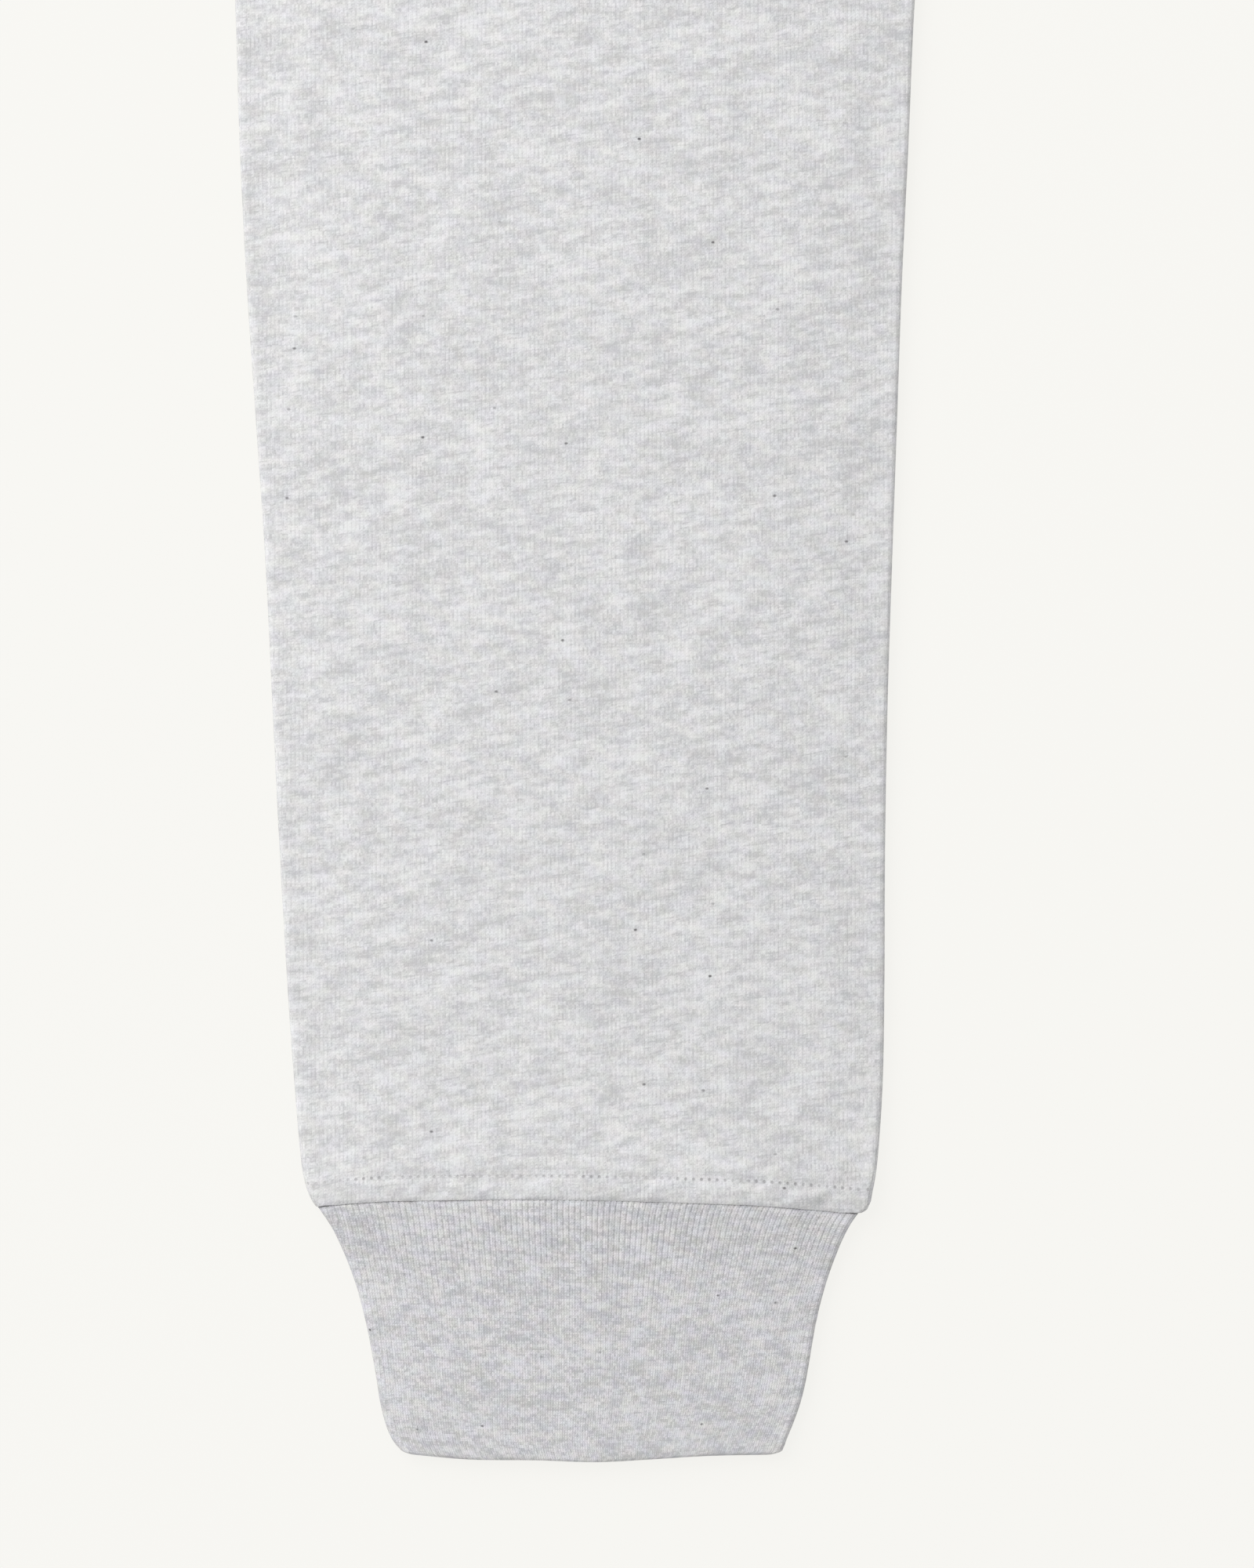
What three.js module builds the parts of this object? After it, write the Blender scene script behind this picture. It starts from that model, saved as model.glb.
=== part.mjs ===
// Jogger sweatpants in heavy fleece, laid out flat on a table with the front side up.
// Millimetres. +X is to the right as seen from above, +Y runs from the cuffs to the waist, +Z is up from the table.
// The origin is on the table, under the middle of the garment.
import * as THREE from "three";

// Cloth. Two pieces that are sewn together, or that lie on each other, stand SEAM_GAP apart.
const SEAM_GAP = 0.3;
const FLEECE = 2.35;
const CUFF_WALL = 2.4;
const BAND_WALL = 4.2;

// Heights above the fold at the foot of the cuff, along the leg.
const LENGTH = 1010;
const HEM_HEIGHT = 75.7;
const CROTCH_HEIGHT = 730;
const BAND_SEAM_HEIGHT = 962;

// Distances across the garment.
const LEG_AXIS = 156.8;
const WAIST_HALF_WIDTH = 196;
const FRONT_DIP = 9;

// The seams' places on the rounded edge of a leg, in degrees: 0 is the outermost line, 90 the top of the roll. The
// inseam has slid onto the front near the ankle.
const OUTSEAM_ANGLE = 4;
const INSEAM_PLACES = [
  { up: 75.7, angle: 50 },
  { up: 84, angle: 52 },
  { up: 96, angle: 34 },
  { up: 112, angle: 14 },
  { up: 140, angle: 5 },
  { up: 176, angle: 4 },
];

// The rise of cloth over the seam allowance that lies inside each edge of a leg.
const RIDGE_HEIGHT = 0.3;
const RIDGE_PLACE = 6;
const RIDGE_WIDTH = 3.6;

// Gathers where the elastic draws the waist in, on each half of the front, and on the band itself.
const GATHERS = 14;
const GATHER_HEIGHT = 3.0;
const GATHER_REACH = 55;
const GATHER_CREST = 20;
const BAND_GATHER_HEIGHT = 1.3;
const STEPS_PER_GATHER = 4;

// Straight spans across the plain parts of a row: a seam that curves needs more of them than the leg does.
const SEAM_SPANS = 10;
const LEG_SPANS = 2;

// Ribs over the front of a cuff.
const RIBS = 90;
const RIB_DEPTH = 0.45;
const RIB_START_HEIGHT = 26;

// A leg's edges, as distances from its own axis to the outseam and to the inseam.
const LEG_EDGES = [
  { up: 72.0, out: 76.6, inn: 78.0 },
  { up: 73.4, out: 78.0, inn: 80.2 },
  { up: 75.7, out: 79.4, inn: 81.2 },
  { up: 79.5, out: 80.8, inn: 82.0 },
  { up: 86.0, out: 82.0, inn: 82.9 },
  { up: 108, out: 84.0, inn: 84.4 },
  { up: 136, out: 86.0, inn: 84.9 },
  { up: 176, out: 88.3, inn: 85.1 },
  { up: 216, out: 90.3, inn: 85.8 },
  { up: 257, out: 92.3, inn: 87.1 },
  { up: 297, out: 95.0, inn: 88.5 },
  { up: 337, out: 97.7, inn: 89.9 },
  { up: 377, out: 99.7, inn: 91.8 },
  { up: 418, out: 101.0, inn: 93.6 },
  { up: 480, out: 103.8, inn: 98.2 },
  { up: 540, out: 107.0, inn: 105.0 },
  { up: 600, out: 110.2, inn: 114.8 },
  { up: 650, out: 112.6, inn: 126.6 },
  { up: 690, out: 114.2, inn: 139.6 },
  { up: 715, out: 115.0, inn: 150.2 },
  { up: CROTCH_HEIGHT, out: 115.3, inn: LEG_AXIS - SEAM_GAP / 2 },
];
const HIP_EDGES = [
  { up: CROTCH_HEIGHT, out: 115.3 },
  { up: 770, out: 114.2 },
  { up: 800, out: 110.8 },
  { up: 830, out: 104.6 },
  { up: 860, out: 95.8 },
  { up: 890, out: 84.2 },
  { up: 915, out: 72.2 },
  { up: 935, out: 60.4 },
  { up: 951, out: 49.4 },
  { up: BAND_SEAM_HEIGHT, out: WAIST_HALF_WIDTH + 1.5 - LEG_AXIS },
];

// How thick front and back are together where they lie on each other, with the seam allowances inside.
const LEG_STACK = [
  { up: HEM_HEIGHT, thick: 8.0 },
  { up: HEM_HEIGHT + 7, thick: 7.8 },
  { up: HEM_HEIGHT + 16, thick: 6.4 },
  { up: HEM_HEIGHT + 36, thick: 5.1 },
  { up: HEM_HEIGHT + 60, thick: 2 * FLEECE + SEAM_GAP },
  { up: BAND_SEAM_HEIGHT - 60, thick: 2 * FLEECE + SEAM_GAP },
  { up: BAND_SEAM_HEIGHT - 12, thick: 6.6 },
  { up: BAND_SEAM_HEIGHT, thick: 7.6 },
];

// The line where the cuff is sewn on, as heights across the leg. The hem droops at both edges.
const HEM_LINE = [
  { across: -77, up: 73.1 },
  { across: -56, up: 75.1 },
  { across: -7, up: HEM_HEIGHT },
  { across: 44, up: 74.4 },
  { across: 78, up: 72.1 },
];
const HEM_FADE = 34;

// A cuff's edges, from its fold up to its seam, and the slight wave of the fold.
const CUFF_EDGES = [
  { up: 0, out: 51.0, inn: 53.2 },
  { up: 0.9, out: 53.0, inn: 55.4 },
  { up: 2.4, out: 54.6, inn: 56.2 },
  { up: 5.0, out: 56.3, inn: 57.1 },
  { up: 9.0, out: 57.8, inn: 58.6 },
  { up: 16, out: 59.4, inn: 60.8 },
  { up: 24, out: 60.6, inn: 62.6 },
  { up: 39, out: 63.4, inn: 65.2 },
  { up: 52, out: 66.8, inn: 68.3 },
  { up: 63, out: 71.0, inn: 72.2 },
  { up: HEM_HEIGHT - SEAM_GAP, out: 77.2, inn: 78.0 },
];
const FOLD_LINE = [
  { across: -50, up: 2.0 },
  { across: -34, up: 0.7 },
  { across: -14, up: 0.5 },
  { across: 2, up: 0 },
  { across: 17, up: 0.7 },
  { across: 34, up: 1.7 },
  { across: 53, up: 2.0 },
];
const FOLD_FADE = 24;

// Where the rows of a panel lie. The first three round the hem over, and the last ones carry the gathers.
const HEM_ROUNDING = [
  { above: 0, share: 0.62 },
  { above: 0.9, share: 0.9 },
  { above: 2.4, share: 1 },
];
const PANEL_ROWS = [
  83, 90, 98, 110, 136, 176, 216, 257, 297, 337, 377, 418, 480, 540, 600, 650, 690, 712, 724, 730, 738, 780, 830,
];
const GATHER_ROWS = [858, 888, 914, 935, 951, BAND_SEAM_HEIGHT];
const CUFF_PLAIN_ROWS = [0, 0.9, 2.4, 5, 9, 16];
const CUFF_RIB_ROWS = [RIB_START_HEIGHT, 44, 61, HEM_HEIGHT - SEAM_GAP];
const BAND_ROWS = [0, 5, 16, 32, 43, 48 - SEAM_GAP];

const mix = THREE.MathUtils.lerp;
const clamp = THREE.MathUtils.clamp;
const smoothstep = THREE.MathUtils.smoothstep;
const radians = THREE.MathUtils.degToRad;

// A smooth curve through one column of a table, read against another.
function smooth(table, key, value) {
  const last = table.length - 1;
  const slopeAt = (i) => {
    const before = table[Math.max(i - 1, 0)];
    const after = table[Math.min(i + 1, last)];
    return (after[value] - before[value]) / (after[key] - before[key]);
  };
  return (place) => {
    const at = clamp(place, table[0][key], table[last][key]);
    let i = 0;
    while (i < last - 1 && table[i + 1][key] < at) i += 1;
    const span = table[i + 1][key] - table[i][key];
    const t = (at - table[i][key]) / span;
    const rise = table[i + 1][value] - table[i][value];
    const start = slopeAt(i) * span;
    const end = slopeAt(i + 1) * span;
    const bend = 3 * rise - 2 * start - end;
    return table[i][value] + t * (start + t * (bend + t * (start + end - 2 * rise)));
  };
}

const legOut = smooth(LEG_EDGES, "up", "out");
const legInn = smooth(LEG_EDGES, "up", "inn");
const hipOut = smooth(HIP_EDGES, "up", "out");
const stackAt = smooth(LEG_STACK, "up", "thick");
const inseamAngle = smooth(INSEAM_PLACES, "up", "angle");
const hemLine = smooth(HEM_LINE, "across", "up");
const foldLine = smooth(FOLD_LINE, "across", "up");
const cuffOut = smooth(CUFF_EDGES, "up", "out");
const cuffInn = smooth(CUFF_EDGES, "up", "inn");

const outEdge = (up) => (up < CROTCH_HEIGHT ? legOut(up) : hipOut(up));
const innEdge = (up) => (up < CROTCH_HEIGHT ? legInn(up) : LEG_AXIS - SEAM_GAP / 2);

// The triangles between two rows of vertices. Each vertex knows its share of the way along, so the counts may differ.
function zip(lower, upper, faces) {
  let i = 0;
  let j = 0;
  while (i < lower.length - 1 || j < upper.length - 1) {
    const lowerNext = i < lower.length - 1 ? lower[i + 1].share : Infinity;
    const upperNext = j < upper.length - 1 ? upper[j + 1].share : Infinity;
    if (lowerNext <= upperNext) {
      faces.push(lower[i].index, lower[i + 1].index, upper[j].index);
      i += 1;
    } else {
      faces.push(lower[i].index, upper[j + 1].index, upper[j].index);
      j += 1;
    }
  }
}

// A closed solid from vertices and faces, turned so that its faces point outwards.
function solid(vertices, faces) {
  const corner = (i) => vertices[faces[i]];
  let volume = 0;
  for (let i = 0; i < faces.length; i += 3) {
    volume += corner(i).dot(corner(i + 1).clone().cross(corner(i + 2)));
  }
  const turned = volume < 0 ? faces.slice().reverse() : faces;
  const geometry = new THREE.BufferGeometry().setFromPoints(vertices);
  geometry.setIndex(turned);
  geometry.computeVertexNormals();
  return geometry;
}

// Gives each point of a row its index in the list of vertices.
function register(points, vertices) {
  return points.map((point) => {
    vertices.push(new THREE.Vector3(point.x, point.y, point.z));
    return { index: vertices.length - 1, share: point.share };
  });
}

// A wall of cloth with four edges. Each section holds the points of its outer face and of its inner face.
function panelWall(sections) {
  const vertices = [];
  const faces = [];
  const rows = sections.map((section) => ({
    outer: register(section.outer, vertices),
    inner: register(section.inner, vertices),
  }));
  const ends = (row, at) => [
    { ...row.inner.at(at), share: 0 },
    { ...row.outer.at(at), share: 1 },
  ];
  rows.slice(1).forEach((upper, i) => {
    const lower = rows[i];
    zip(lower.outer, upper.outer, faces);
    zip(upper.inner, lower.inner, faces);
    zip(ends(lower, 0), ends(upper, 0), faces);
    zip(ends(upper, -1), ends(lower, -1), faces);
  });
  zip(rows[0].inner, rows[0].outer, faces);
  zip(rows.at(-1).outer, rows.at(-1).inner, faces);
  return solid(vertices, faces);
}

// A tube of cloth, open at both ends, from rings of outer and inner points.
function tubeWall(sections) {
  const vertices = [];
  const faces = [];
  const close = (ring) => [...ring, { ...ring[0], share: 1 }];
  const rows = sections.map((section) => ({
    outer: close(register(section.outer, vertices)),
    inner: close(register(section.inner, vertices)),
  }));
  rows.slice(1).forEach((upper, i) => {
    zip(rows[i].outer, upper.outer, faces);
    zip(upper.inner, rows[i].inner, faces);
  });
  zip(rows[0].inner, rows[0].outer, faces);
  zip(rows.at(-1).outer, rows.at(-1).inner, faces);
  return solid(vertices, faces);
}

// The seam allowance's ridge, by distance from the edge of the leg.
function ridge(distance) {
  return RIDGE_HEIGHT * Math.exp(-(((distance - RIDGE_PLACE) / RIDGE_WIDTH) ** 2));
}

// The gathers' lift over the flat cloth, at a share of the way across half the front. The seam holds them down.
function gatherLift(share, up) {
  const below = BAND_SEAM_HEIGHT - up;
  const atSeam = mix(0.5, 1, smoothstep(below, 0, GATHER_CREST));
  const fade = atSeam * Math.exp(-((Math.max(0, below - GATHER_CREST) / GATHER_REACH) ** 2));
  const uneven = 0.78 + 0.22 * Math.sin(17 * share + 1.3) * Math.cos(41 * share);
  return GATHER_HEIGHT * fade * uneven * (0.5 - 0.5 * Math.cos(2 * Math.PI * GATHERS * share));
}

// The points round the rolled edge of a leg, from its seam to the flat of the panel. Each has a distance in from
// the outline, a height, and a share. Towards the crotch the roll opens into the upright face of the centre seam.
function rolledEdge(up, seamDegrees, isFront, opened) {
  const radius = stackAt(up) / 2;
  const halfGap = SEAM_GAP / 2;
  const seam = radians(seamDegrees);
  const turn = Math.asin(halfGap / radius);
  const side = isFront ? 1 : -1;
  const first = seam + side * turn;
  const last = (side * Math.PI) / 2;
  const steps = 3;
  const outer = [];
  for (let i = 0; i <= steps; i += 1) {
    const angle = mix(first, last, i / steps);
    const uprightHeight = radius + side * radius;
    outer.push({
      inset: mix(radius * (1 - Math.cos(angle)), (radius * i) / steps, opened),
      height: mix(radius + radius * Math.sin(angle), uprightHeight, opened),
    });
  }
  const corner = {
    inset: mix(radius + side * halfGap * Math.sin(seam), 0, opened),
    height: radius + side * mix(halfGap * Math.cos(seam), halfGap, opened),
  };
  const inside = { inset: radius + 0.8, height: radius + side * halfGap };
  return { outer, inner: [corner, inside] };
}

// How much the rows of a panel bend to follow the hem and the waist seam.
function rowHeight(up, across, isFront) {
  const hemShare = 1 - smoothstep(up, HEM_HEIGHT, HEM_HEIGHT + HEM_FADE);
  const waistShare = smoothstep(up, CROTCH_HEIGHT + 60, BAND_SEAM_HEIGHT);
  const dip = isFront ? waistDip(across - LEG_AXIS) : 0;
  return up + hemShare * (hemLine(across) - HEM_HEIGHT) - waistShare * dip;
}

function waistDip(fromCentre) {
  return FRONT_DIP * Math.max(0, 1 - (fromCentre / WAIST_HALF_WIDTH) ** 2);
}

// One section across half the garment: the front panel's or the back panel's outer and inner points.
function panelSection(side, isFront, up, endShare, gathered, plainSpans) {
  const middle = stackAt(up) / 2;
  const direction = isFront ? 1 : -1;
  const opened = smoothstep(up, CROTCH_HEIGHT - 22, CROTCH_HEIGHT);
  const hemDrop = up - rowHeight(up, -outEdge(up), isFront);
  const left = -outEdge(up - Math.max(0, hemDrop));
  const hemDropInn = up - rowHeight(up, innEdge(up), isFront);
  const right = innEdge(up < CROTCH_HEIGHT ? up - Math.max(0, hemDropInn) : up);
  const outseam = rolledEdge(up, OUTSEAM_ANGLE, isFront, 0);
  const inseam = rolledEdge(up, inseamAngle(up), isFront, opened);
  const ridgePlaces = isFront ? [RIDGE_PLACE * 0.6, RIDGE_PLACE, RIDGE_PLACE * 1.8] : [];
  const spanCount = gathered ? GATHERS * STEPS_PER_GATHER : plainSpans;

  const place = (across, height, share) => ({
    x: side * (LEG_AXIS - across),
    y: rowHeight(up, across, isFront) - LENGTH / 2,
    z: middle + direction * Math.max(Math.abs(height - middle) * endShare, SEAM_GAP / 2),
    share,
  });
  const half = (edges, from, towards, startShare) =>
    edges.map((edge, i) => place(from + towards * edge.inset, edge.height, startShare + towards * i * 0.01));

  const ridgeShares = ridgePlaces.map((distance, i) => ({ distance, share: 0.05 + 0.01 * i }));
  const flatHeight = middle + direction * middle;
  const flatFrom = left + RIDGE_PLACE * 2.6;
  const flatTo = right - RIDGE_PLACE * 2.6;
  const liftAt = (across) => (gathered ? gatherLift((across - flatFrom) / (right - flatFrom), up) : 0);
  const rise = (distance) => (isFront ? ridge(distance) : 0);
  const leftRidge = ridgeShares.map((r) => place(left + r.distance, flatHeight + rise(r.distance), r.share));
  const rightRidge = ridgeShares
    .map((r) => {
      const across = right - r.distance;
      return place(across, flatHeight + rise(r.distance) * (1 - opened) + liftAt(across), 1 - r.share);
    })
    .reverse();
  const flat = [];
  const flatInner = [];
  for (let i = 0; i <= spanCount; i += 1) {
    const t = i / spanCount;
    const across = mix(flatFrom, flatTo, t);
    const lift = liftAt(across);
    const share = mix(0.1, 0.9, t);
    flat.push(place(across, flatHeight + lift, share));
    flatInner.push(place(across, middle + (direction * SEAM_GAP) / 2 + lift, share));
  }
  return {
    outer: [
      ...half(outseam.outer, left, 1, 0),
      ...leftRidge,
      ...flat,
      ...rightRidge,
      ...half(inseam.outer, right, -1, 1).reverse(),
    ],
    inner: [...half(outseam.inner, left, 1, 0), ...flatInner, ...half(inseam.inner, right, -1, 1).reverse()],
  };
}

// One panel of a leg, from the hem to the waist seam.
function legPanel(side, isFront) {
  const hem = HEM_ROUNDING.map(({ above, share }) =>
    panelSection(side, isFront, HEM_HEIGHT + above, share, false, SEAM_SPANS)
  );
  const leg = PANEL_ROWS.map((up) => panelSection(side, isFront, up, 1, false, LEG_SPANS));
  const waist = GATHER_ROWS.map((up) => panelSection(side, isFront, up, 1, isFront, LEG_SPANS));
  return panelWall([...hem, ...leg, ...waist]);
}

// One ring of a flattened tube: the outer points run over the front from left to right, and back underneath.
function flatRing({ left, right, wall, endShare, place, frontCount, relief }) {
  const middle = wall + SEAM_GAP / 2;
  const squash = (height, centre) => centre + (height - centre) * endShare;
  const frontCentre = middle + SEAM_GAP / 2 + wall / 2;
  const backCentre = wall / 2;
  const roll = [0, 30, 60].map(radians);
  const outer = [];
  const add = (list, across, height, share, isFront) => {
    const centre = isFront ? frontCentre : backCentre;
    list.push({ ...place(across, squash(height, centre), isFront), share });
  };
  const topFrom = left + middle;
  const topTo = right - middle;
  roll.forEach((angle, i) => {
    add(outer, left + middle * (1 - Math.cos(angle)), middle * (1 + Math.sin(angle)), 0.005 * i, i > 0);
  });
  for (let i = 0; i <= frontCount; i += 1) {
    const t = i / frontCount;
    add(outer, mix(topFrom, topTo, t), 2 * middle - relief(t, i), mix(0.02, 0.48, t), true);
  }
  roll.toReversed().forEach((angle, i) => {
    add(outer, right - middle * (1 - Math.cos(angle)), middle * (1 + Math.sin(angle)), 0.49 + 0.005 * i, i < 2);
  });
  const under = [30, 60, 90].map(radians);
  under.forEach((angle, i) => {
    add(outer, right - middle * (1 - Math.cos(angle)), middle * (1 - Math.sin(angle)), 0.505 + 0.005 * i, false);
  });
  for (let i = 1; i < SEAM_SPANS; i += 1) {
    const t = i / SEAM_SPANS;
    add(outer, mix(topTo, topFrom, t), 0, mix(0.52, 0.98, t), false);
  }
  under.toReversed().forEach((angle, i) => {
    add(outer, left + middle * (1 - Math.cos(angle)), middle * (1 - Math.sin(angle)), 0.985 + 0.005 * i, false);
  });

  const inner = [];
  const slit = SEAM_GAP / 2;
  add(inner, left + wall, middle, 0, true);
  for (let i = 0; i <= SEAM_SPANS; i += 1) {
    const t = i / SEAM_SPANS;
    add(inner, mix(topFrom, topTo, t), middle + slit, mix(0.02, 0.48, t), true);
  }
  add(inner, right - wall, middle, 0.5, true);
  for (let i = 0; i <= SEAM_SPANS; i += 1) {
    const t = i / SEAM_SPANS;
    add(inner, mix(topTo, topFrom, t), middle - slit, mix(0.52, 0.98, t), false);
  }
  return { outer, inner };
}

// A ribbed cuff. It is a tube of rib knit folded double, so its foot is a fold.
function cuff(side) {
  const ring = (up, ribbed) => {
    const place = (across, height) => {
      const hemShare = smoothstep(up, HEM_HEIGHT - HEM_FADE, HEM_HEIGHT);
      const foldShare = 1 - smoothstep(up, 0, FOLD_FADE);
      const height0 = hemShare * (hemLine(across) - HEM_HEIGHT) + foldShare * foldLine(across);
      return { x: side * (LEG_AXIS - across), y: up + height0 - LENGTH / 2, z: height };
    };
    const depth = RIB_DEPTH * smoothstep(up, RIB_START_HEIGHT, HEM_HEIGHT);
    return flatRing({
      left: -cuffOut(up),
      right: cuffInn(up),
      wall: CUFF_WALL,
      endShare: up === 0 ? 0.5 : 1,
      place,
      frontCount: ribbed ? 2 * RIBS : 6,
      relief: (t, i) => (ribbed && i % 2 ? depth : 0),
    });
  };
  return tubeWall([...CUFF_PLAIN_ROWS.map((up) => ring(up, false)), ...CUFF_RIB_ROWS.map((up) => ring(up, true))]);
}

// The waistband: fleece folded over an elastic that gathers it, in one ring. The front lies a little lower.
function waistband() {
  const height = BAND_ROWS.at(-1);
  const rings = BAND_ROWS.map((above) => {
    const rounding = smoothstep(above, height - 6, height);
    const halfWidth = WAIST_HALF_WIDTH - 3.4 * rounding ** 2;
    const place = (across, z, isFront) => ({
      x: across,
      y: BAND_SEAM_HEIGHT + SEAM_GAP + above - (isFront ? waistDip(across) : 0) - LENGTH / 2,
      z,
    });
    const puff = BAND_GATHER_HEIGHT * Math.sin(Math.PI * clamp(above / height, 0.12, 0.88));
    return flatRing({
      left: -halfWidth,
      right: halfWidth,
      wall: BAND_WALL,
      endShare: above === height ? 0.5 : 1,
      place,
      frontCount: 2 * GATHERS * STEPS_PER_GATHER,
      relief: (t) => -puff * (0.5 - 0.5 * Math.cos(4 * Math.PI * GATHERS * t)),
    });
  });
  return tubeWall(rings);
}

const fleece = new THREE.MeshStandardMaterial({ color: 0xd9d9da, roughness: 0.95, metalness: 0 });
const rib = new THREE.MeshStandardMaterial({ color: 0xcac9cb, roughness: 0.95, metalness: 0 });

function named(name, geometry, material) {
  const mesh = new THREE.Mesh(geometry, material);
  mesh.name = name;
  return mesh;
}

// The wearer's right leg is on the left as seen from above, because the front faces up.
const garment = new THREE.Group();
for (const [name, side] of [
  ["right", -1],
  ["left", 1],
]) {
  garment.add(named(`front_${name}_leg`, legPanel(side, true), fleece));
  garment.add(named(`back_${name}_leg`, legPanel(side, false), fleece));
  garment.add(named(`cuff_${name}`, cuff(side), rib));
}
garment.add(named("waistband", waistband(), fleece));

export default garment;
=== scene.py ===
# %% [markdown]
# # Jogger sweatpants, laid out flat
#
# The object is a pair of heavy fleece joggers that lie on a table with the front up: four leg panels, a gathered
# waistband, and a cuff of rib knit at each ankle. The camera looks straight down on one lower leg, so close that
# single stitches show.
#
# The solids of the imported model already have the right size and place. They are the frame, and each piece made here
# stands for one of them, in the same metres. This first cell loads them.

# %% Load the frame
import bisect
import math

import bmesh
import bpy
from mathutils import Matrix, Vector, noise


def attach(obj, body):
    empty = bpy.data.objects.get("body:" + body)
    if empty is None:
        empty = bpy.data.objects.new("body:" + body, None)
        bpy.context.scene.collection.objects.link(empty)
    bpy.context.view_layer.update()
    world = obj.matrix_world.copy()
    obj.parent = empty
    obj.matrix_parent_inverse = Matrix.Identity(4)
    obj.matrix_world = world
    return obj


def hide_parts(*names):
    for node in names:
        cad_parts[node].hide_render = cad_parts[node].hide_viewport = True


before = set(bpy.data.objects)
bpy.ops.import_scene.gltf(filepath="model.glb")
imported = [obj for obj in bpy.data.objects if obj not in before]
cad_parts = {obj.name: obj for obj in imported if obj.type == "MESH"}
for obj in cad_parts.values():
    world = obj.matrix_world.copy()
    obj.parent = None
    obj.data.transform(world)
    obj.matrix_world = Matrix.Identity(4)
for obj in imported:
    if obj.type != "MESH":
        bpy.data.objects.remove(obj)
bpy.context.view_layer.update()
print("solids in the frame:", ", ".join(sorted(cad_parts)))

# %% [markdown]
# ## Working in the cutter's units
#
# A pattern cutter thinks in millimetres and in heights above the ankle, so the shapes below are worked out that
# way and turned into Blender's metres in one place. A table with named columns holds each outline. The curve
# through its rows could be straight from row to row, but cloth has no corners there, so the helper bends it
# smoothly, with the slope at each row taken from its two neighbours.

# %% Units, tables and smooth curves
MM = 0.001
ROUND_POWER = 0.65


def table(names, *rows):
    """A short table, as one list for each named column."""
    return {name: [row[i] for row in rows] for i, name in enumerate(names.split())}


def mix(a, b, t):
    return a + (b - a) * t


def step(value, low, high):
    """0 below low, 1 above high, and a soft S between them."""
    t = min(max((value - low) / (high - low), 0), 1)
    return t * t * (3 - 2 * t)


def bell(distance, width):
    return math.exp(-((distance / width) ** 2))


def fuller(value):
    """A sine or cosine pushed outwards, so that a round edge stays flat for longer and turns over late."""
    return math.copysign(abs(value) ** ROUND_POWER, value)


def smooth(rows, key, value):
    """A function that reads one column of a table against another, along a smooth curve."""
    xs, ys = rows[key], rows[value]
    last = len(xs) - 1
    slopes = []
    for i in range(last + 1):
        before, after = max(i - 1, 0), min(i + 1, last)
        slopes.append((ys[after] - ys[before]) / (xs[after] - xs[before]))

    def at(place):
        x = min(max(place, xs[0]), xs[-1])
        i = min(bisect.bisect_right(xs, x) - 1, last - 1)
        span = xs[i + 1] - xs[i]
        t = (x - xs[i]) / span
        rise = ys[i + 1] - ys[i]
        start, end = slopes[i] * span, slopes[i + 1] * span
        return ys[i] + t * (start + t * (3 * rise - 2 * start - end + t * (start + end - 2 * rise)))

    return at


# %% [markdown]
# ## The sizes of the garment
#
# Heights are measured up the leg from the fold at the foot of the cuff, and distances across from the leg's own
# axis. The two layers of a leg lie on each other with a hair's breadth between them, and are a little thicker
# where seam allowances lie inside: over the ankle seam and under the waist seam.

# %% Sizes
SEAM_GAP = 0.3
FLEECE = 2.35
LENGTH = 1010
HEM_HEIGHT = 75.7
CROTCH_HEIGHT = 730
BAND_SEAM_HEIGHT = 962
LEG_AXIS = 156.8
WAIST_HALF_WIDTH = 196
FRONT_DIP = 9
OUTSEAM_ANGLE = math.radians(4)
GATHERS = 14
GATHER_HEIGHT = 3.0
GATHER_REACH = 55
GATHER_CREST = 20
RIBS = 88
STITCH = 2.24
TOPSTITCH_RISE = 6.4

LEG_EDGES = table(
    "up out inn",
    (70.6, 75.2, 77.0),
    (71.2, 75.8, 78.3),
    (72.0, 76.6, 79.6),
    (73.4, 78.0, 80.8),
    (75.7, 79.4, 81.2),
    (79.5, 80.8, 82.0),
    (86.0, 82.0, 82.9),
    (108, 84.0, 84.4),
    (136, 86.0, 84.9),
    (176, 88.3, 85.1),
    (216, 90.3, 85.8),
    (257, 92.3, 87.1),
    (297, 95.0, 88.5),
    (337, 97.7, 89.9),
    (377, 99.7, 91.8),
    (418, 101.0, 93.6),
    (480, 103.8, 98.2),
    (540, 107.0, 105.0),
    (600, 110.2, 114.8),
    (650, 112.6, 126.6),
    (690, 114.2, 139.6),
    (715, 115.0, 150.2),
    (CROTCH_HEIGHT, 115.3, LEG_AXIS - SEAM_GAP / 2),
)
HIP_EDGES = table(
    "up out",
    (CROTCH_HEIGHT, 115.3),
    (770, 114.2),
    (800, 110.8),
    (830, 104.6),
    (860, 95.8),
    (890, 84.2),
    (915, 72.2),
    (935, 60.4),
    (951, 49.4),
    (BAND_SEAM_HEIGHT, WAIST_HALF_WIDTH + 1.5 - LEG_AXIS),
)
LEG_STACK = table(
    "up thick",
    (HEM_HEIGHT, 7.0),
    (HEM_HEIGHT + 7, 7.1),
    (HEM_HEIGHT + 16, 6.2),
    (HEM_HEIGHT + 36, 5.1),
    (HEM_HEIGHT + 60, 2 * FLEECE + SEAM_GAP),
    (BAND_SEAM_HEIGHT - 60, 2 * FLEECE + SEAM_GAP),
    (BAND_SEAM_HEIGHT - 12, 6.4),
    (BAND_SEAM_HEIGHT, 7.0),
)
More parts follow.
